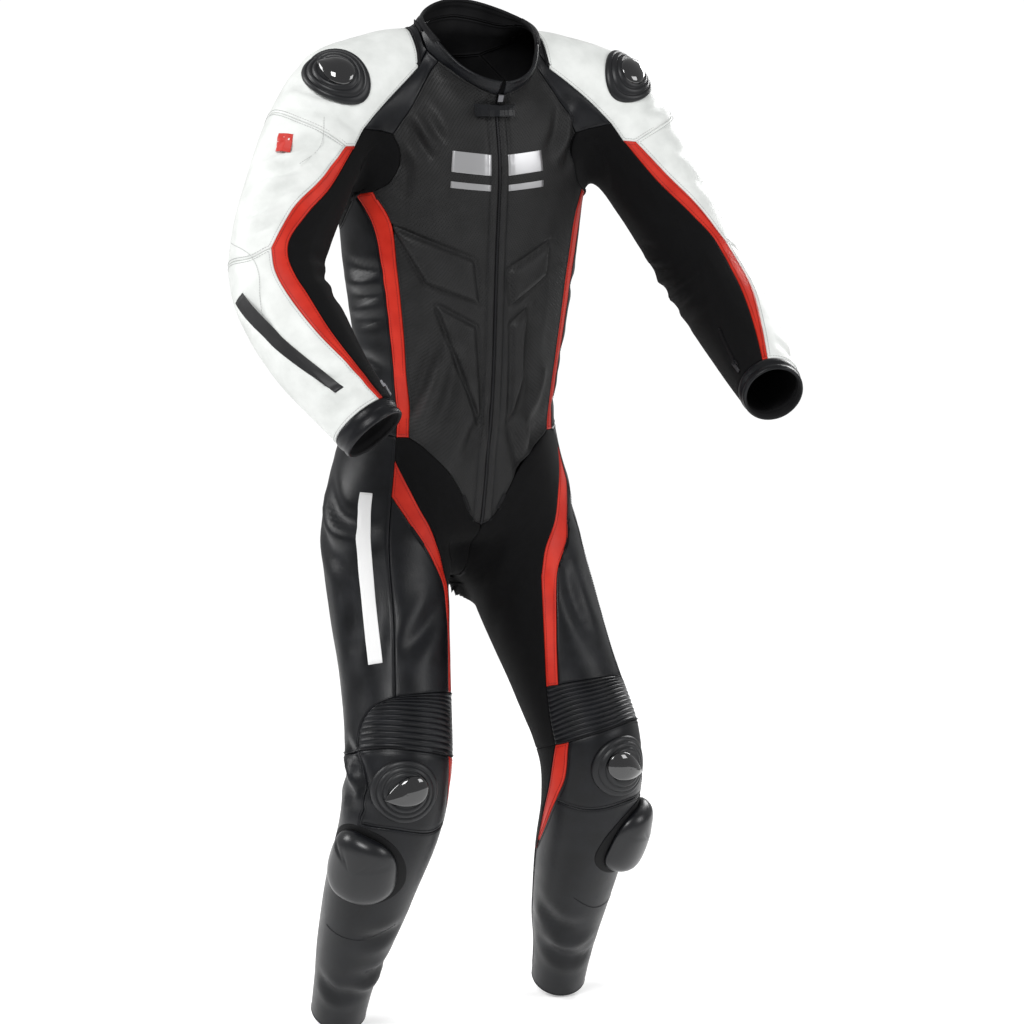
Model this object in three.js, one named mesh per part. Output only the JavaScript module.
// One-piece motorcycle race suit, standing in the shape of a wearer with nobody in it.
// Millimetres, +Z up, the front faces -Y, +X is the wearer's left. The origin is the middle of
// the neck, level with the shoulder seams' inner ends, where a hanger or a neck holds the suit.
import * as THREE from "three";

// Driving dimensions.
const WALL = 2.5;          // leather and its backing
const CUFF_WALL = 4;       // rolled cuff and stand collar
const SEAM = 0.3;          // open line between two cut pieces
const ZIP_HALF = 4;        // half the width of the zip between the two fronts
const REST = 0.45;         // how far a hard piece stands off the leather under it
const RIB_HEIGHT = 2.6;    // stretch ribs over the knee
const PAD_HEIGHT = 3;      // embossed belly pads
const CHAIN_HEIGHT = 1.2;  // how far the zip's chain stands over its tape
const SIDES = [-1, 1];     // wearer's right, wearer's left
const SIDE_NAME = { "-1": "right", "1": "left" };

// How smoothly two forms run into each other, as the width of the blend.
const BLEND = { yoke: 30, legs: 26, hips: 46, arm: 40 };
// How the points are put on the body shape.
const SLOPE_STEP = 0.5;    // half of this each way when the slope is measured
const ON_SHAPE = 0.01;     // close enough to the shape
const SETTLE_STEPS = 6;
const DROP_STEPS = 8;
const CORNER_REACH = 7;    // the most a corner is drawn in

function table(names, rows) {
  const keys = names.split(" ");
  return rows.map(row => Object.fromEntries(keys.map((key, i) => [key, row[i]])));
}

// The body shape the suit keeps: limbs of oval sections.
// x is outward; half is the half width, front and back the depths before and behind the line.
const TORSO = table("x y z half front back", [
  [0, -12,   -8,  62,  50,  54],
  [0,  -2,  -38, 120,  72,  84],
  [0,   8,  -85, 158,  98, 106],
  [0,  16, -155, 166, 116, 116],
  [0,  24, -215, 167, 119, 119],
  [0,  29, -290, 160, 117, 117],
  [0,  31, -370, 148, 114, 110],
  [0,  35, -450, 135, 110, 103],
  [0,  44, -515, 131, 106, 105],
  [0,  52, -575, 140, 103, 112],
  [0,  58, -625, 132,  92, 106],
  [0,  62, -655,  90,  48,  62],
]);
const NECK = table("x y z half front back", [
  [0, -70,   50, 72, 94, 94],
  [0, -34,   -6, 71, 92, 92],
  [0,  -7,  -50, 68, 80, 80],
  [0,  16, -110, 66, 74, 74],
]);
// shift moves both legs the same way: the suit stands with its hips a little to its right
const LEG = table("x shift y z half front back", [
  [ 76,  -9,  60, -560, 74, 84, 98],
  [ 92,  -9,  46, -640, 86, 84, 98],
  [106,  -5,  14, -735, 80, 80, 88],
  [122,  -1, -38, -840, 72, 74, 76],
  [138,   0, -80, -930, 70, 70, 68],
  [146,  -3, -78,-1010, 67, 64, 64],
  [153,  -8, -42,-1100, 60, 56, 68],
  [160,  -9,   2,-1190, 50, 48, 58],
  [165,  -6,  36,-1255, 41, 42, 46],
  [168,  -2,  66,-1315, 37, 38, 40],
]);
// the slope from the neck to each shoulder
const YOKE = table("x y z half front back", [
  [ 52,   6, -26, 42, 44, 48],
  [108,   4, -37, 49, 54, 58],
  [168,   0, -64, 54, 60, 62],
]);
const ARM = {
  "-1": table("x y z half front back", [
    [130,   8,  -74, 58, 62, 66],
    [196,  -8,  -94, 66, 68, 68],
    [256, -44, -190, 64, 66, 66],
    [304,-100, -288, 58, 62, 60],
    [290,-165, -368, 56, 58, 58],
    [258,-220, -436, 45, 46, 46],
    [234,-252, -476, 40, 40, 40],
  ]),
  "1": table("x y z half front back", [
    [130,   8,  -74, 58, 62, 66],
    [196,  -8,  -92, 65, 67, 67],
    [250, -50, -192, 60, 62, 62],
    [288,-106, -295, 54, 57, 57],
    [289,-196, -361, 52, 53, 53],
    [276,-290, -417, 43, 44, 44],
    [266,-340, -441, 37, 37, 37],
  ]),
};

const V = (x, y, z) => new THREE.Vector3(x, y, z);
const MARKS_A_ROW = 4;
const degrees = radians => radians * 180 / Math.PI;
class Limb {
  constructor(rows, side, out) {
    this.rows = rows.map(r => [r.x * side + (r.shift || 0), r.y, r.z, r.half, r.front, r.back]);
    this.side = side;
    this.out = out;
    this.last = rows.length - 1;
    this.marks = [];
    for (let i = 0; i <= this.last * MARKS_A_ROW; i++) this.marks.push(this.at(i / MARKS_A_ROW).c);
  }
  // the middle, direction and section at t, on a smooth curve through the rows
  at(t) {
    t = Math.min(Math.max(t, 0), this.last);
    const i = Math.min(Math.floor(t), this.last - 1);
    const u = t - i;
    const R = this.rows;
    const near = [R[Math.max(i - 1, 0)], R[i], R[i + 1], R[Math.min(i + 2, this.last)]];
    const value = R[0].map((_, k) => {
      const [a, b, c, d] = near.map(row => row[k]);
      return b + .5 * u * (c - a + u * (2 * a - 5 * b + 4 * c - d + u * (3 * (b - c) + d - a)));
    });
    const rate = [0, 1, 2].map(k => {
      const [a, b, c, d] = near.map(row => row[k]);
      return .5 * (c - a) + u * (2 * a - 5 * b + 4 * c - d) + 1.5 * u * u * (3 * (b - c) + d - a);
    });
    const [x, y, z, half, front, back] = value;
    return { c: V(x, y, z), way: V(...rate), half, front, back };
  }
  frame(way) {
    const T = way.clone().normalize();
    const S = this.out.clone().addScaledVector(T, -this.out.dot(T)).normalize();
    return { S, F: T.clone().cross(S).multiplyScalar(this.side) };
  }
  near(p) {
    let best = Infinity;
    let t = 0;
    this.marks.forEach((mark, i) => {
      const d = mark.distanceToSquared(p);
      if (d < best) {
        best = d;
        t = i / MARKS_A_ROW;
      }
    });
    for (let k = 0; k < 3; k++) {
      const q = this.at(t);
      t += (p.clone().sub(q.c)).dot(q.way) / q.way.lengthSq();
      t = Math.min(Math.max(t, 0), this.last);
    }
    return t;
  }
  radius(q, cos, sin) {
    return 1 / Math.hypot(sin / q.half, cos / (cos > 0 ? q.front : q.back));
  }
  // how far outside the limb a point is
  reach(p) {
    const q = this.at(this.near(p));
    const { S, F } = this.frame(q.way);
    const d = p.clone().sub(q.c);
    const a = Math.atan2(d.dot(S), d.dot(F));
    return d.length() - this.radius(q, Math.cos(a), Math.sin(a));
  }
  // a point's place: how far along the limb it is and its angle round it, near the angle given
  polar(p, near) {
    const t = this.near(p);
    const q = this.at(t);
    const { S, F } = this.frame(q.way);
    const d = p.clone().sub(q.c);
    const angle = degrees(Math.atan2(d.dot(S), d.dot(F)));
    return [t, angle + 360 * Math.round((near - angle) / 360)];
  }
  point(t, deg) {
    const q = this.at(t);
    const { S, F } = this.frame(q.way);
    const a = deg * Math.PI / 180;
    const r = this.radius(q, Math.cos(a), Math.sin(a));
    return q.c.addScaledVector(F, r * Math.cos(a)).addScaledVector(S, r * Math.sin(a));
  }
}
const ARM_OUT = { x: .85, z: .5 };
const limbs = {
  T: new Limb(TORSO, 1, V(1, 0, 0)),
  N: new Limb(NECK, 1, V(1, 0, 0)),
  G: {},
  A: {},
  Y: {},
};
for (const s of SIDES) {
  limbs.Y[s] = new Limb(YOKE, s, V(0, 0, 1));
  limbs.G[s] = new Limb(LEG, s, V(s, 0, 0));
  limbs.A[s] = new Limb(ARM[s], s, V(ARM_OUT.x * s, 0, ARM_OUT.z));
}
const limbOf = (letter, s) => limbs[letter][s] || limbs[letter];
function blend(a, b, k) {
  const h = Math.max(k - Math.abs(a - b), 0) / k;
  return Math.min(a, b) - h * h * k / 4;
}
// how far outside the whole body shape a point is
function shape(p) {
  let g = blend(limbs.T.reach(p), limbs.Y[-1].reach(p), BLEND.yoke);
  g = blend(g, limbs.Y[1].reach(p), BLEND.yoke);
  g = blend(g, limbs.N.reach(p), BLEND.yoke);
  const legs = blend(limbs.G[-1].reach(p), limbs.G[1].reach(p), BLEND.legs);
  g = blend(g, legs, BLEND.hips);
  g = blend(g, limbs.A[-1].reach(p), BLEND.arm);
  return blend(g, limbs.A[1].reach(p), BLEND.arm);
}
function slope(p) {
  const h = SLOPE_STEP;
  const rate = (x, y, z) =>
    (shape(V(p.x + x, p.y + y, p.z + z)) - shape(V(p.x - x, p.y - y, p.z - z))) / (2 * h);
  return V(rate(h, 0, 0), rate(0, h, 0), rate(0, 0, h));
}
// puts a point on the body shape; with pin, x stays at that value
function settle(point, pin) {
  const LEAST_SLOPE = .2;
  const p = point.clone();
  if (pin !== undefined) p.x = pin;
  for (let k = 0; k < SETTLE_STEPS; k++) {
    const g = shape(p);
    if (Math.abs(g) < ON_SHAPE) break;
    const d = slope(p);
    if (pin !== undefined) d.x = 0;
    p.addScaledVector(d, -g / Math.max(d.lengthSq(), LEAST_SLOPE));
  }
  return p;
}
// a point on the body shape with the direction out of it
function vertex(point, pin) {
  const p = settle(point, pin);
  const n = slope(p);
  if (pin === 0) n.x = 0;
  return { p, n: n.normalize() };
}

// The seams: lines on the body shape, as places on a limb, t along it and an angle round it.
// angle 0 is the front, 90 outward, 180 the back. C is the suit's middle line, given as y and z.
function place(s, [letter, t, angle]) {
  if (letter === "C") return V(0, t, angle);
  if (letter === "T" || letter === "N") return limbs[letter].point(t, s * angle);
  return limbs[letter][s].point(t, angle);
}
// places that differ from side to side, and the corners that several seams share
const both = (right, left) => ({ "-1": right, "1": left });
const ELBOW_BACK = both(["A", 2.95, 202], ["A", 2.95, 208]);
const HIP = both(["G", .02, 19], ["G", .02, 44]);
const HIP_LOW = both(["G", .64, 19], ["G", .64, 50]);
const LEG_IN = both(["G", 1.88, -52], ["G", 1.95, -15]);
const RIB_OUT = both(["G", 3.32, 22], ["G", 3.36, 46]);
const RIB_IN = both(["G", 3.16, -52], ["G", 3.24, -38]);
const RED_IN = both(["G", 3.12, -64], ["G", 3.2, -51]);
// n: cells along the line; pin: the line keeps this distance from the middle
const SEAM_TABLE = {
  zip: {
    n: 18, pin: ZIP_HALF,
    on: [
      ["N", 1.34, 2.5], ["T", 2.2, 2], ["T", 3, 2], ["T", 4, 2], ["T", 5, 2], ["T", 6, 2], ["T", 7, 2],
      ["T", 8, 2], ["T", 9, 2], ["T", 9.85, 2],
    ],
  },
  collarA: { n: 5, on: [["N", 1.34, 2.5], ["N", 1.2, 22], ["N", 1.1, 45], ["N", 1.08, 64]] },
  collarB: { n: 1, on: [["N", 1.08, 64], ["N", 1.13, 82]] },
  collarC: { n: 11, on: [["N", 1.13, 82], ["N", 1.2, 102], ["N", 1.26, 140], ["N", 1.27, 180]], pinEnd: 0 },
  stripLow: {
    n: 5,
    on: [
      ["N", 1.08, 64], ["T", .75, 58], ["T", 1.2, 57.5], ["T", 1.9, 58], ["T", 2.4, 63],
    ],
  },
  stripTopA: { n: 2, on: [["N", 1.13, 82], ["T", .82, 69]] },
  stripTopB: { n: 3, on: [["T", .82, 69], ["A", .42, -14], ["A", 1.2, -27]] },
  stripEnd: { n: 1, on: [["A", 1.2, -27], ["T", 2.4, 63]] },
  gussetF: {
    n: 3,
    on: [
      ["T", 2.4, 63], ["T", 2.65, 59], ["T", 2.95, 58.5], ["T", 3.25, 62], ["T", 3.5, 70],
    ],
  },
  stripeTop: { n: 1, on: [["T", 3.5, 70], ["T", 3.6, 79]] },
  stripeIn: {
    n: 10,
    on: [
      ["T", 3.5, 70], ["T", 4.1, 61], ["T", 5, 58], ["T", 6.2, 56], ["T", 7.1, 55.5], ["T", 7.75, 54],
    ],
  },
  stripeOut: {
    n: 10,
    on: [
      ["T", 3.6, 79], ["T", 4.2, 70], ["T", 5, 66], ["T", 6.2, 64], ["T", 7.1, 63], ["T", 7.8, 61.5],
    ],
  },
  stripeLow: { n: 1, on: [["T", 7.75, 54], ["T", 7.8, 61.5]] },
  vee: {
    n: 5, pinEnd: ZIP_HALF,
    on: [
      ["T", 7.75, 54], ["T", 7.95, 45], ["T", 8.5, 27], ["T", 9.05, 17], ["T", 9.7, 8], ["T", 9.85, 2],
    ],
  },
  veeTip: { n: 1, on: [["T", 9.85, 2], ["C", -40, -642]], pinStart: ZIP_HALF, pinEnd: 0 },
  yokeA: { n: 7, on: [["T", .82, 69], ["T", .5, 92], ["T", .62, 120], ["T", .95, 148]] },
  yokeB: { n: 4, on: [["T", .95, 148], ["T", 1.02, 165], ["T", 1.04, 180]], pinEnd: 0 },
  yokeMid: { n: 2, pin: 0, on: [["N", 1.27, 180], ["T", 1.04, 180]] },
  raglanB: { n: 4, on: [["T", .95, 148], ["T", 1.4, 137], ["T", 2.05, 122]] },
  backArm: { n: 1, on: [["T", 2.05, 122], ["T", 2.45, 116]] },
  gussetB: { n: 3, on: [["T", 2.45, 116], ["T", 2.75, 121], ["T", 3.1, 121], ["T", 3.55, 116]] },
  sideTop: { n: 5, on: [["T", 3.6, 79], ["T", 4.35, 97], ["T", 3.55, 116]] },
  sideSeam: { n: 10, on: [["T", 3.55, 116], ["T", 5, 124], ["T", 6.5, 126], ["T", 7.9, 124]] },
  waistA: { n: 5, on: [["T", 7.8, 61.5], ["T", 7.88, 92], ["T", 7.9, 124]] },
  waistB: { n: 4, on: [["T", 7.9, 124], ["T", 7.8, 150], ["T", 7.75, 180]], pinEnd: 0 },
  backMid: {
    n: 18, pin: 0,
    on: [
      ["T", 1.04, 180], ["T", 2, 180], ["T", 3, 180], ["T", 4, 180], ["T", 5, 180], ["T", 6, 180],
      ["T", 7, 180], ["T", 7.75, 180],
    ],
  },
  armhole: {
    n: 6,
    on: [
      ["T", 2.4, 63], ["A", 1.5, -60], ["A", 1.7, -84], ["A", 1.5, -108], ["T", 2.45, 116],
    ],
  },
  // the sleeve
  frontHem: { n: 2, on: [["A", 1.2, -27], ["A", 1.46, -27]] },
  redTop: { n: 1, on: [["A", 1.46, -27], ["A", 1.54, -15]] },
  redWhiteA: { n: 5, on: [["A", 1.54, -15], ["A", 2.05, 0], ["A", 2.5, 19], ["A", 3.0, 39]] },
  redWhiteB: {
    n: 8,
    on: [
      ["A", 3.0, 39], ["A", 3.3, 44], ["A", 3.7, 45], ["A", 4.2, 37], ["A", 4.7, 26], ["A", 5.45, 14],
    ],
  },
  redBlack: {
    n: 13,
    on: [
      ["A", 1.46, -27], ["A", 2.05, -15], ["A", 2.5, 2], ["A", 2.95, 19], ["A", 3.3, 24], ["A", 3.7, 24],
      ["A", 4.2, 20], ["A", 4.7, 14], ["A", 5.45, 4],
    ],
  },
  shoulder: {
    n: 7,
    on: [
      ["A", 1.54, -15], ["A", 1.5, 43], ["A", 1.4, 96], ["A", 1.48, 150], ["A", 1.5, 206],
    ],
  },
  backHem: { n: 2, on: [["T", 2.05, 122], ["A", 1.3, 214], ["A", 1.5, 206]] },
  armBackA: { n: 5, on: [["A", 1.5, 206], ["A", 2.2, 204], ELBOW_BACK] },
  armBackB: { n: 8, on: [ELBOW_BACK, both(["A", 4, 200], ["A", 4, 206]), ["A", 5.45, 196]] },
  elbow: { n: 7, on: [["A", 3.0, 39], ["A", 3.05, 66], ["A", 2.96, 106], ["A", 2.9, 150], ELBOW_BACK] },
  cuffWhite: {
    n: 7,
    on: [
      ["A", 5.45, 14], ["A", 5.45, 60], ["A", 5.45, 105], ["A", 5.45, 150], ["A", 5.45, 196],
    ],
  },
  cuffRed: { n: 1, on: [["A", 5.45, 4], ["A", 5.45, 14]] },
  cuffBlack: {
    n: 8,
    on: [
      ["A", 5.45, 4], ["A", 5.45, -40], ["A", 5.45, -82], ["A", 5.45, -124], ["A", 5.45, 196],
    ],
  },
  // the leg
  pipingA: { n: 1, on: [["T", 7.8, 61.5], HIP] },
  pipingB: { n: 1, on: [HIP, HIP_LOW] },
  pipingC: {
    n: 10,
    on: [
      HIP_LOW, both(["G", 1.4, 19], ["G", 1.4, 56]), both(["G", 2.4, 18], ["G", 2.4, 57]), RIB_OUT,
    ],
  },
  ribCurve: {
    n: 3,
    on: [
      RIB_OUT, both(["G", 3.42, 48], ["G", 3.46, 58]), both(["G", 3.62, 64], ["G", 3.65, 66]),
      ["G", 3.9, 69],
    ],
  },
  ribTop: { n: 4, on: [RIB_OUT, both(["G", 3.27, -8], ["G", 3.32, -2]), RIB_IN] },
  redKnee: { n: 1, on: [RIB_IN, RED_IN] },
  ribIn: { n: 3, on: [RED_IN, ["G", 3.55, -60], ["G", 3.92, -64]] },
  ribLowA: { n: 4, on: [["G", 3.9, 69], ["G", 3.88, 35], ["G", 3.9, -2], ["G", 3.92, -47]] },
  ribLowB: { n: 1, on: [["G", 3.92, -47], ["G", 3.92, -64]] },
  redHipIn: {
    n: 6,
    on: [
      HIP, both(["G", .7, -4], ["G", .76, 28]), both(["G", 1.1, -20], ["G", 1.23, 16]),
      both(["G", 1.42, -33], ["G", 1.58, -2]), LEG_IN,
    ],
  },
  redLegIn: { n: 8, on: [LEG_IN, both(["G", 2.45, -61], ["G", 2.6, -32]), RED_IN] },
  redLegOut: {
    n: 14,
    on: [
      HIP_LOW, both(["G", 1.09, -1], ["G", 1.19, 36]), both(["G", 1.57, -25], ["G", 1.55, 26]),
      both(["G", 1.95, -44], ["G", 1.94, 3]), both(["G", 2.45, -52], ["G", 2.65, -20]), RIB_IN,
    ],
  },
  crotch: {
    n: 6, pin: 0,
    on: [
      ["C", -40, -642], ["C", -22, -690], ["C", 20, -716], ["C", 75, -720], ["C", 125, -690],
    ],
  },
  acrossLeg: { n: 6, on: [["C", 125, -690], ["G", 1.75, -110], LEG_IN], pinStart: 0 },
  seatMid: { n: 4, pin: 0, on: [["T", 7.75, 180], ["T", 8.6, 180], ["T", 9.4, 180], ["C", 125, -690]] },
  innerBack: {
    n: 11, pinStart: 0,
    on: [
      ["C", 125, -690], ["G", 1.9, -136], ["G", 2.8, -140], ["G", 3.92, -140],
    ],
  },
  outerBack: {
    n: 15,
    on: [
      ["T", 7.9, 124], ["G", .5, 132], ["G", 1.3, 143], ["G", 2.6, 148], ["G", 3.92, 148],
    ],
  },
  kneeBackA: { n: 6, on: [["G", 3.92, -64], ["G", 3.92, -102], ["G", 3.92, -140]] },
  kneeBackB: { n: 4, on: [["G", 3.92, -140], ["G", 3.92, -176], ["G", 3.92, 148]] },
  kneeBackC: { n: 5, on: [["G", 3.92, 148], ["G", 3.92, 108], ["G", 3.9, 69]] },
  cupOut: { n: 2, on: [["G", 3.9, 69], ["G", 4.4, 60], ["G", 4.85, 62]] },
  cupLow: { n: 4, on: [["G", 4.85, 62], ["G", 4.8, 20], ["G", 4.85, -30], ["G", 4.8, -70]] },
  redShinA: { n: 2, on: [["G", 3.92, -47], ["G", 4.4, -57], ["G", 4.8, -70]] },
  redShinB: { n: 3, on: [["G", 4.8, -70], ["G", 5.4, -88], ["G", 5.95, -108]] },
  redShinIn: { n: 5, on: [["G", 3.92, -64], ["G", 4.65, -83], ["G", 5.3, -98], ["G", 5.95, -108]] },
  shinIn: { n: 7, on: [["G", 5.95, -108], ["G", 7, -116], ["G", 8.93, -118]] },
  calfA: { n: 2, on: [["G", 3.92, 148], ["G", 4.85, 146]] },
  calfB: { n: 10, on: [["G", 4.85, 146], ["G", 6.5, 140], ["G", 8.93, 132]] },
  cupSide: { n: 5, on: [["G", 4.85, 62], ["G", 4.85, 104], ["G", 4.85, 146]] },
  hemShin: {
    n: 9,
    on: [
      ["G", 8.93, -118], ["G", 8.93, -60], ["G", 8.93, 0], ["G", 8.93, 70], ["G", 8.93, 132],
    ],
  },
  hemCalf: { n: 10, on: [["G", 8.93, 132], ["G", 8.93, 178], ["G", 8.93, -142], ["G", 8.93, -118]] },
};
const kept = new Map();
const ARC_STEPS = 120;
function seam(name, s) {
  const key = name + s;
  if (kept.has(key)) return kept.get(key);
  const row = SEAM_TABLE[name];
  const last = row.on.length - 1;
  const pinAt = i => {
    if (row.pin !== undefined) return row.pin * s;
    if (i === 0 && row.pinStart !== undefined) return row.pinStart * s;
    if (i === last && row.pinEnd !== undefined) return row.pinEnd * s;
    return undefined;
  };
  const guides = row.on.map((g, i) => settle(place(s, Array.isArray(g) ? g : g[s]), pinAt(i)));
  const line = guides.length > 2
    ? new THREE.CatmullRomCurve3(guides, false, "centripetal")
    : new THREE.LineCurve3(...guides);
  line.arcLengthDivisions = ARC_STEPS;
  const out = [];
  for (let i = 0; i <= row.n; i++) {
    const corner = i === 0 ? 0 : i === row.n ? last : undefined;
    if (corner !== undefined) out.push(vertex(guides[corner], pinAt(corner)));
    else out.push(vertex(line.getPointAt(i / row.n), row.pin === undefined ? undefined : row.pin * s));
  }
  kept.set(key, out);
  return out;
}
// joins seams end to end; a name after a minus runs backwards
function run(s, names) {
  let out = [];
  for (const name of names.split(" ")) {
    const back = name[0] === "-";
    const line = seam(back ? name.slice(1) : name, s);
    const way = back ? [...line].reverse() : line;
    out = out.length ? out.concat(way.slice(1)) : [...way];
  }
  return out;
}
// a line between two others, or between two of its own points
const between = (v, w, u) => ({ p: v.p.clone().lerp(w.p, u), n: v.n.clone().lerp(w.n, u) });
function finer(line, k) {
  return line.flatMap((v, i) => {
    if (i === line.length - 1) return [v];
    return Array.from({ length: k }, (_, j) => between(v, line[i + 1], j / k));
  });
}

// The cut pieces: each lies between four seams and is settled on the body shape.
// mixes the values on four sides into one inside them, by the shares u across and v down
function mix(top, bottom, left, right, i, j) {
  const m = top.length - 1;
  const n = left.length - 1;
  const u = i / m;
  const v = j / n;
  return top[0].map((_, k) => {
    const sides = top[i][k] * (1 - v) + bottom[i][k] * v + left[j][k] * (1 - u) + right[j][k] * u;
    const upper = top[0][k] * (1 - u) + top[m][k] * u;
    const lower = bottom[0][k] * (1 - u) + bottom[m][k] * u;
    return sides - upper * (1 - v) - lower * v;
  });
}
// the same places as [along, round] a limb, with the angles running on from one to the next
function unroll(line, limb, start) {
  let near = start;
  return line.map(v => {
    const at = limb.polar(v.p, near);
    near = at[1];
    return at;
  });
}
// With a limb the points are spread along and round it, so that a piece goes round a bend. They
// are then moved to the middle of their neighbours as often as rounds says.
function patch(top, bottom, left, right, { limb, rounds = 0 } = {}) {
  const m = top.length - 1;
  const n = left.length - 1;
  if (bottom.length !== top.length || right.length !== left.length) {
    throw new Error("sides differ " + [top.length, bottom.length, left.length, right.length]);
  }
  let edges = [top, bottom, left, right].map(line => line.map(v => v.p.toArray()));
  if (limb) {
    const first = limb.polar(top[0].p, -90)[1];
    const above = unroll(top, limb, first);
    const before = unroll(left, limb, first);
    edges = [above, unroll(bottom, limb, before[n][1]), before, unroll(right, limb, above[m][1])];
  }
  const grid = [];
  for (let j = 0; j <= n; j++) {
    const row = [];
    for (let i = 0; i <= m; i++) {
      if (j === 0) row.push(top[i]);
      else if (j === n) row.push(bottom[i]);
      else if (i === 0) row.push(left[j]);
      else if (i === m) row.push(right[j]);
      else {
        const at = mix(...edges, i, j);
        row.push({ ...vertex(limb ? limb.point(...at) : V(...at)), u: i / m, v: j / n });
      }
    }
    grid.push(row);
  }
  for (let k = 0; k < rounds; k++) {
    const before = grid.map(row => row.map(v => v.p));
    for (let j = 1; j < n; j++) {
      for (let i = 1; i < m; i++) {
        const p = before[j - 1][i].clone().add(before[j + 1][i]);
        p.add(before[j][i - 1]).add(before[j][i + 1]);
        grid[j][i] = { ...grid[j][i], ...vertex(p.multiplyScalar(1 / 4)) };
      }
    }
  }
  return grid;
}
const group = new THREE.Group();
function add(name, geometry, look) {
  geometry.computeVertexNormals();
  const mesh = new THREE.Mesh(geometry, new THREE.MeshStandardMaterial(look));
  mesh.name = name;
  group.add(mesh);
  return mesh;
}
function solid(points, faces) {
  const g = new THREE.BufferGeometry();
  g.setAttribute("position", new THREE.Float32BufferAttribute(points.flatMap(p => p.toArray()), 3));
  g.setIndex(faces.flat());
  return g;
}
const turned = faces => faces.map(([a, b, c]) => [a, c, b]);
// the triangles of one grid, each cell cut along its better diagonal, facing out
function triangles(grid, id, points) {
  const at = k => points[k].p;
  const cross = (a, b, c) => at(b).clone().sub(at(a)).cross(at(c).clone().sub(at(a)));
  const size = (a, b, c) => cross(a, b, c).length();
  const own = [];
  let facing = 0;
  for (let j = 0; j + 1 < grid.length; j++) {
    for (let i = 0; i + 1 < grid[j].length; i++) {
      const [a, b, c, d] = [id(grid[j][i]), id(grid[j + 1][i]), id(grid[j + 1][i + 1]), id(grid[j][i + 1])];
      const oneWay = Math.min(size(a, b, c), size(a, c, d));
      const otherWay = Math.min(size(a, b, d), size(b, c, d));
      const cut = oneWay >= otherWay ? [[a, b, c], [a, c, d]] : [[a, b, d], [b, c, d]];
      for (const t of cut) {
        if (new Set(t).size < 3) continue;
        const out = points[t[0]].n.clone().add(points[t[1]].n).add(points[t[2]].n);
        facing += cross(...t).dot(out);
        own.push(t);
      }
    }
  }
  return facing > 0 ? own : turned(own);
}
// draws the open edges in by half a seam
function drawIn(points, next, before) {
  const moved = points.map(v => v.p.clone());
  const way = (a, b) => points[b].p.clone().sub(points[a].p).normalize();
  for (const [v, w] of next) {
    const n = points[v].n.clone().normalize();
    const m1 = n.clone().cross(way(before.get(v), v)).normalize();
    const m2 = n.clone().cross(way(v, w)).normalize();
    const shift = m1.clone().add(m2).multiplyScalar(SEAM / 2 / Math.max(1 + m1.dot(m2), .001));
    moved[v].add(shift.clampLength(0, CORNER_REACH));
  }
  return moved;
}
// joins grids where their seams are shared, draws the open edges in, and gives the sheet its
// thickness inward; raise(vertex) lifts the outer face only
function piece(name, look, grids, { wall = WALL, raise = () => 0 } = {}) {
  const points = [];
  const index = new Map();
  const id = v => {
    const key = v.p.toArray().map(x => Math.round(x * 1000)).join();
    if (!index.has(key)) {
      index.set(key, points.length);
      points.push(v);
    }
    return index.get(key);
  };
  const faces = grids.flatMap(grid => triangles(grid, id, points));
  const edge = new Map();
  for (const [a, b, c] of faces) {
    for (const [x, y] of [[a, b], [b, c], [c, a]]) {
      if (edge.has(y + "," + x)) edge.delete(y + "," + x);
      else edge.set(x + "," + y, [x, y]);
    }
  }
  const next = new Map(edge.values());
  const before = new Map([...edge.values()].map(([x, y]) => [y, x]));
  const moved = drawIn(points, next, before);
  const lift = i => next.has(i) ? 0 : raise(points[i]);
  const outer = moved.map((p, i) => p.clone().addScaledVector(points[i].n, lift(i)));
  const inner = moved.map((p, i) => p.clone().addScaledVector(points[i].n, -wall));
  const N = points.length;
  const all = [...faces, ...faces.map(([a, b, c]) => [a + N, c + N, b + N])];
  // neighbours that share an edge cut its wall along the same diagonal
  const first = (a, b) => {
    const d = points[a].p.clone().sub(points[b].p);
    return d.x + 1.3 * d.y + 1.7 * d.z > 0;
  };
  for (const [a, b] of edge.values()) {
    if (first(a, b)) all.push([b, a, b + N], [a, a + N, b + N]);
    else all.push([b, a, a + N], [b, a + N, b + N]);
  }
  return add(name, solid([...outer, ...inner], all), look);
}

// The looks, plain here.
const WHITE = { color: 0xe9ede8, roughness: .55 };
const RED = { color: 0xc81e16, roughness: .5 };
const SATIN = { color: 0x14171c, roughness: .42 };
const STRETCH = { color: 0x0b0b0d, roughness: .9 };
const PERFORATED = { color: 0x2b2b2d, roughness: .6 };
const RUBBER = { color: 0x101114, roughness: .55 };
const GLOSS = { color: 0x08090b, roughness: .15 };
const METAL = { color: 0x8a8d90, roughness: .35, metalness: .9 };

// The leather and stretch panels of both sides.
const half = (s, top, bottom, left, right, how) =>
  patch(run(s, top), run(s, bottom), run(s, left), run(s, right), how);
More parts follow.
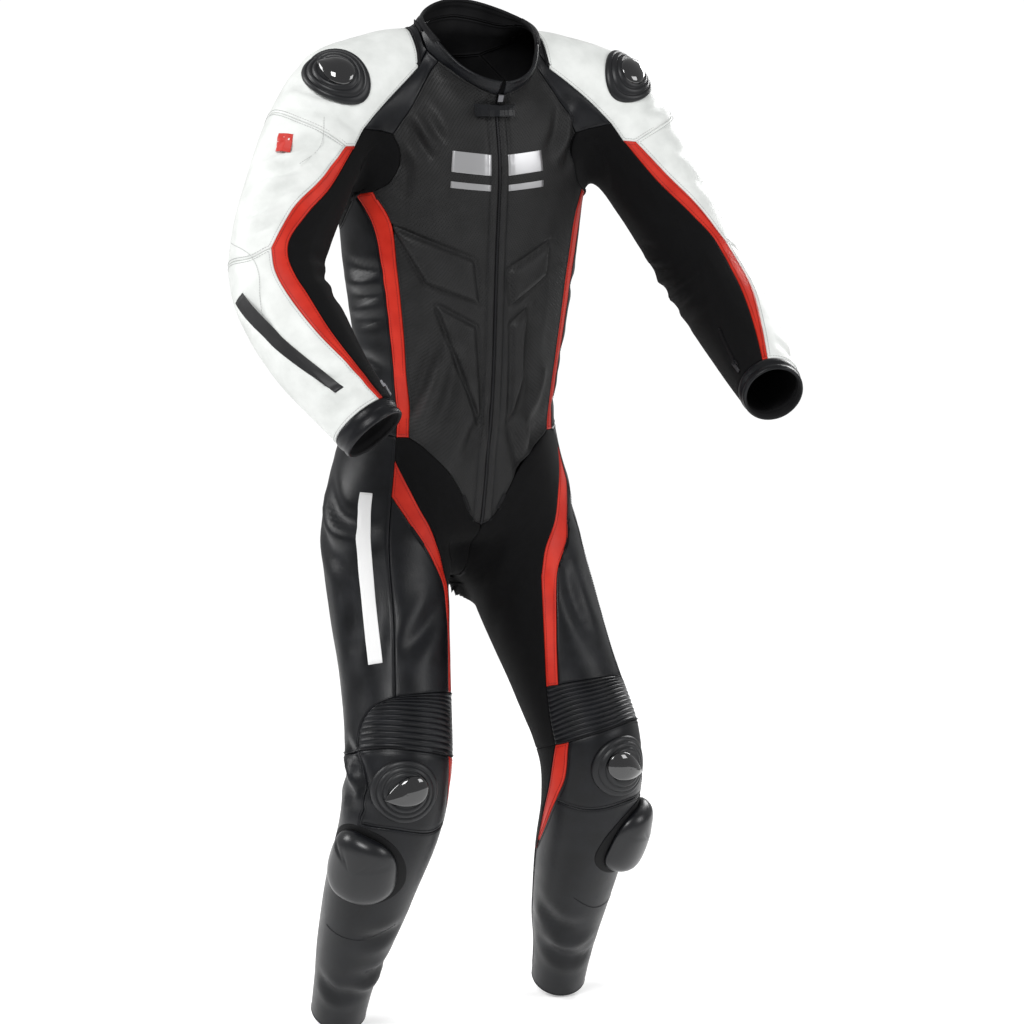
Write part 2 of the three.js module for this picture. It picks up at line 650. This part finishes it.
// soft pads raised in the outer face
function bumpAt(s, letter, rows) {
  const limb = limbOf(letter, s);
  const turn = letter === "T" ? s : 1;
  return v => {
    const [t, angle] = limb.polar(v.p, 0);
    const lifts = rows.map(r => {
      const away = ((t - r.t) / r.along) ** 2 + ((angle * turn - r.angle) / r.round) ** 2;
      return r.height * Math.max(0, 1 - away);
    });
    return Math.max(0, ...lifts);
  };
}
const PADS = table("t angle along round height", [
  [4.95, 29, .75, 22, PAD_HEIGHT],
  [6.2, 20, 1.15, 15, PAD_HEIGHT],
]);
const UPPER_RED = 5;       // points of the red thigh stripe's edge above the thigh's front
for (const s of SIDES) {
  const N = SIDE_NAME[s];
  piece("front_" + N, PERFORATED,
    [half(s, "collarA", "-vee", "zip", "stripLow gussetF stripeIn")],
    { raise: bumpAt(s, "T", PADS) });
  piece("strip_" + N, SATIN, [half(s, "collarB", "-stripEnd", "stripLow", "stripTopA stripTopB")]);
  piece("side_stripe_" + N, RED, [half(s, "stripeTop", "stripeLow", "stripeIn", "stripeOut")]);
  piece("side_panel_" + N, SATIN, [half(s, "sideTop", "waistA", "stripeOut", "sideSeam")]);
  piece("shoulder_" + N, WHITE,
    [half(s, "yokeA", "shoulder", "stripTopB frontHem redTop", "raglanB backHem")]);
  piece("sleeve_upper_" + N, WHITE, [half(s, "shoulder", "elbow", "redWhiteA", "armBackA")]);
  piece("sleeve_fore_" + N, WHITE, [half(s, "elbow", "cuffWhite", "redWhiteB", "armBackB")]);
  piece("sleeve_stripe_" + N, RED, [half(s, "redTop", "cuffRed", "redBlack", "redWhiteA redWhiteB")]);
  const gusset = half(s, "armhole", "stripeTop sideTop", "gussetF", "gussetB", { rounds: 7 });
  const under = half(s, "stripEnd armhole -backArm", "cuffBlack", "frontHem redBlack",
    "backHem armBackA armBackB", { limb: limbs.A[s], rounds: 3 });
  piece("sleeve_under_" + N, STRETCH, [gusset, under]);
  piece("thigh_outer_" + N, SATIN,
    [half(s, "waistA", "-kneeBackC", "pipingA pipingB pipingC ribCurve", "outerBack")]);
  const red = run(s, "redLegOut");
  const thigh = patch(red.slice(0, UPPER_RED), run(s, "ribTop"), run(s, "pipingC"), red.slice(UPPER_RED - 1));
  piece("thigh_front_" + N, SATIN, [thigh]);
  piece("thigh_stripe_" + N, RED, [half(s, "pipingB", "-redKnee", "redHipIn redLegIn", "redLegOut")]);
  piece("seat_" + N, SATIN, [half(s, "waistB", "-kneeBackB", "outerBack", "seatMid innerBack")]);
  const crotch = half(s, "-stripeLow vee", "-acrossLeg", "pipingA redHipIn", "veeTip crotch", { rounds: 2 });
  const inner = half(s, "-acrossLeg", "kneeBackA", "redLegIn ribIn", "innerBack",
    { limb: limbs.G[s], rounds: 3 });
  piece("inner_leg_" + N, STRETCH, [crotch, inner]);
}
const RIB_CELLS = 8;       // cells between two points of the rib band's ends
const RIBS_A_POINT = 3;
const RIB_FADE = 6;        // the ribs run out in a sixth of the band's width
function rib(v) {
  if (v.v === undefined) return 0;
  const up = Math.round(v.v * RIBS_A_POINT * RIB_CELLS % 2);
  return RIB_HEIGHT * up * Math.min(1, RIB_FADE * v.u, RIB_FADE * (1 - v.u));
}
for (const s of SIDES) {
  const N = SIDE_NAME[s];
  const ribs = patch(run(s, "ribTop redKnee"), run(s, "ribLowA ribLowB"),
    finer(run(s, "ribCurve"), RIB_CELLS), finer(run(s, "ribIn"), RIB_CELLS));
  piece("knee_ribs_" + N, SATIN, [ribs], { raise: rib });
  piece("knee_panel_" + N, SATIN, [half(s, "ribLowA", "cupLow", "cupOut", "redShinA")]);
  piece("shin_" + N, SATIN, [
    half(s, "-kneeBackC", "cupSide", "cupOut", "calfA"),
    half(s, "-cupSide cupLow", "-hemShin", "calfB", "redShinB shinIn"),
  ]);
  piece("calf_" + N, STRETCH,
    [half(s, "kneeBackA kneeBackB", "-hemCalf", "redShinIn shinIn", "calfA calfB")]);
  const red = run(s, "redShinIn");
  const tip = red[red.length - 1];
  const wedge = patch(run(s, "ribLowB"), [tip, tip], run(s, "redShinA redShinB"), red);
  piece("shin_stripe_" + N, RED, [wedge]);
  piece("cuff_" + N, SATIN, [cuffRing(s)], { wall: CUFF_WALL });
}
// the cuff goes on from the sleeve's end along the arm, and closes on itself
function cuffRing(s) {
  const SLEEVE_END = 5.45;
  const CUFF_ROWS = [5.7, 5.95];
  const arm = limbs.A[s];
  const top = run(s, "cuffRed cuffWhite -cuffBlack");
  top[top.length - 1] = top[0];
  const grid = [top];
  for (const t of CUFF_ROWS) {
    const along = arm.at(t).c.sub(arm.at(SLEEVE_END).c);
    const row = top.slice(0, -1).map(v => vertex(v.p.clone().add(along)));
    grid.push([...row, row[0]]);
  }
  return grid;
}

// The back, the yoke and the collar, which run over the middle.
const COLLAR_RIM = table("t angle", [[.98, 1.5], [.88, 35], [.74, 72], [.76, 112], [.8, 150], [.8, 180]]);
piece("back", SATIN, SIDES.map(s =>
  half(s, "-yokeB", "-waistB", "backMid", "raglanB backArm gussetB sideSeam")));
piece("yoke", SATIN, SIDES.map(s => half(s, "collarC", "yokeA yokeB", "stripTopA", "yokeMid")));
function collarHalf(s) {
  const low = run(s, "collarA collarB collarC");
  const n = low.length - 1;
  const guides = COLLAR_RIM.map(r => limbs.N.point(r.t, s * r.angle));
  const line = new THREE.CatmullRomCurve3(guides, false, "centripetal");
  const pin = i => i === n ? 0 : undefined;
  const rim = low.map((v, i) => vertex(line.getPointAt(i / n), pin(i)));
  const middle = low.map((v, i) => vertex(v.p.clone().lerp(rim[i].p, 1 / 2), pin(i)));
  return [low, middle, rim];
}
piece("collar", SATIN, SIDES.map(collarHalf), { wall: CUFF_WALL });

// The front zip: a tape between the two fronts, its closed chain standing up in the middle.
const [zipRight, zipLeft] = SIDES.map(s => run(s, "zip"));
const ZIP_ACROSS = [
  { u: 0, chain: false },
  { u: .3, chain: true },
  { u: .7, chain: true },
  { u: 1, chain: false },
];
const tape = zipRight.map((v, j) =>
  ZIP_ACROSS.map(({ u, chain }) => ({ ...between(v, zipLeft[j], u), chain })));
piece("zip_front", METAL, [tape], { raise: v => v.chain ? CHAIN_HEIGHT : 0 });

// Hard pieces that lie on the leather.
const LEAST_FALL = .5;
// frame at a place on a limb: e1 points back up the limb, e2 round it
function seat(s, on) {
  const v = vertex(place(s, on));
  const up = limbOf(on[0], s).at(on[1]).way.negate();
  const e1 = up.addScaledVector(v.n, -up.dot(v.n)).normalize();
  return { ...v, e1, e2: v.n.clone().cross(e1).multiplyScalar(s) };
}
// drops a point of the tangent plane straight down on the body shape
function drop(at, a, b) {
  const p = at.p.clone().addScaledVector(at.e1, a).addScaledVector(at.e2, b);
  for (let k = 0; k < DROP_STEPS; k++) {
    const g = shape(p);
    if (Math.abs(g) < ON_SHAPE) break;
    p.addScaledVector(at.n, -g / Math.max(slope(p).dot(at.n), LEAST_FALL));
  }
  return { p, n: slope(p).normalize() };
}
// a rounded pad: rings of points from its rim to its middle, each with its height over the leather
function pad(name, look, at, { up, round, rings, from = REST, turns = 16, square = 2 }) {
  const low = [];
  const high = [];
  for (const ring of rings) {
    for (let i = 0; i < (ring.size ? turns : 1); i++) {
      const angle = i / turns * 2 * Math.PI;
      const c = Math.cos(angle);
      const d = Math.sin(angle);
      const f = ring.size / (Math.abs(c) ** square + Math.abs(d) ** square) ** (1 / square);
      const v = drop(at, up * c * f, round * d * f);
      low.push(v.p.clone().addScaledVector(at.n, from));
      high.push(v.p.clone().addScaledVector(at.n, ring.height));
    }
  }
  const n = low.length;
  const faces = [];
  for (let k = 0; k + 1 < rings.length; k++) {
    for (let i = 0; i < turns; i++) {
      const a = k * turns + i;
      const b = k * turns + (i + 1) % turns;
      if (k === rings.length - 2) {
        faces.push([a + n, b + n, n + n - 1], [b, a, n - 1]);
      } else {
        faces.push([a + n, b + n, b + n + turns], [a + n, b + n + turns, a + n + turns]);
        faces.push([b, a, a + turns], [b, a + turns, b + turns]);
      }
    }
  }
  for (let i = 0; i < turns; i++) {
    const j = (i + 1) % turns;
    faces.push([i, j, j + n], [i, j + n, i + n]);
  }
  const points = [...low, ...high];
  const corner = points[n + 1].clone().sub(points[n]).cross(points[n + turns].clone().sub(points[n]));
  return add(name, solid(points, corner.dot(at.n) > 0 ? faces : turned(faces)), look);
}
const CUP = {
  from: 1.2,
  rings: table("size height", [[1, 3.4], [.93, 6.5], [.78, 8.5], [.56, 9.5], [0, 9.5]]),
};
const CUP_TOP = 9.5;
const INSERT = {
  from: CUP_TOP + SEAM,
  rings: table("size height", [[.56, 12.2], [.46, 14.6], [.24, 16.6], [0, 17.4]]),
};
const PUCK = {
  up: 45,
  round: 42,
  from: 1,
  square: 2.7,
  rings: table("size height", [[1, 12], [.95, 19], [.82, 23], [.5, 25], [0, 25.5]]),
};
const PUCK_SEAT = ["G", 5.42, 52];
const GUARDS = [
  { name: "shoulder", on: ["A", .93, 34], up: 37, round: 47 },
  { name: "knee", on: ["G", 4.32, 13], up: 40, round: 42 },
];
for (const s of SIDES) {
  const N = SIDE_NAME[s];
  for (const { name, on, up, round } of GUARDS) {
    const at = seat(s, on);
    pad(name + "_cup_" + N, RUBBER, at, { up, round, ...CUP });
    pad(name + "_insert_" + N, GLOSS, at, { up, round, ...INSERT });
  }
  pad("knee_puck_" + N, RUBBER, seat(s, PUCK_SEAT), PUCK);
}

// The sliders and pulls: small blocks with their reach up and round, and their heights.
const BLOCK_CORNERS = [[0, 0], [1, 0], [1, 1], [0, 1]];
const BLOCK_FACES = [
  [0, 2, 1], [0, 3, 2], [4, 5, 6], [4, 6, 7], [0, 1, 5], [0, 5, 4],
  [1, 2, 6], [1, 6, 5], [2, 3, 7], [2, 7, 6], [3, 0, 4], [3, 4, 7],
];
function block(name, at, { up, round, height }) {
  const points = height.flatMap(h => BLOCK_CORNERS.map(([a, b]) =>
    at.p.clone().addScaledVector(at.e1, up[a]).addScaledVector(at.e2, round[b]).addScaledVector(at.n, h)));
  const out = at.e1.clone().cross(at.e2).dot(at.n) > 0;
  return add(name, solid(points, out ? BLOCK_FACES : turned(BLOCK_FACES)), METAL);
}
const ZIP_SLIDER = { up: [4, 13], round: [-3.5, 3.5], height: [4.4, 7] };
const CUFF_SLIDER = { up: [0, 9], round: [-3.5, 3.5], height: [REST, 3.2] };
// the pull's pivot lies across the middle of its slider, and the pull reaches .4 past it
const CUFF_PULL = { up: [-13, 4.9], round: [-2.2, 2.2], height: [3.5, 4.7] };
block("zip_slider", seat(1, ["T", 1.4, 0]), ZIP_SLIDER);
for (const s of SIDES) {
  const at = seat(s, ["A", 5.15, -42]);
  block("cuff_slider_" + SIDE_NAME[s], at, CUFF_SLIDER);
  block("cuff_pull_" + SIDE_NAME[s], at, CUFF_PULL);
}

// The strap over the zip's top: a leather tab from front to front.
const STRAP = {
  seat: ["T", 1.78, 0],
  up: [-9, 0, 9],
  round: [-22, -13, -6, 0, 6, 14, 23, 31],
  wall: 2,
  height: 6.3,
  overZip: 1.5,            // raised this much more where it crosses the zip
};
const strapSeat = seat(1, STRAP.seat);
const strap = STRAP.up.map(a => STRAP.round.map(b => {
  const v = drop(strapSeat, a, b);
  v.p.addScaledVector(v.n, REST + STRAP.height + (b === 0 ? STRAP.overZip : 0));
  return v;
}));
piece("zip_strap", SATIN, [strap], { wall: STRAP.wall });
export default group;
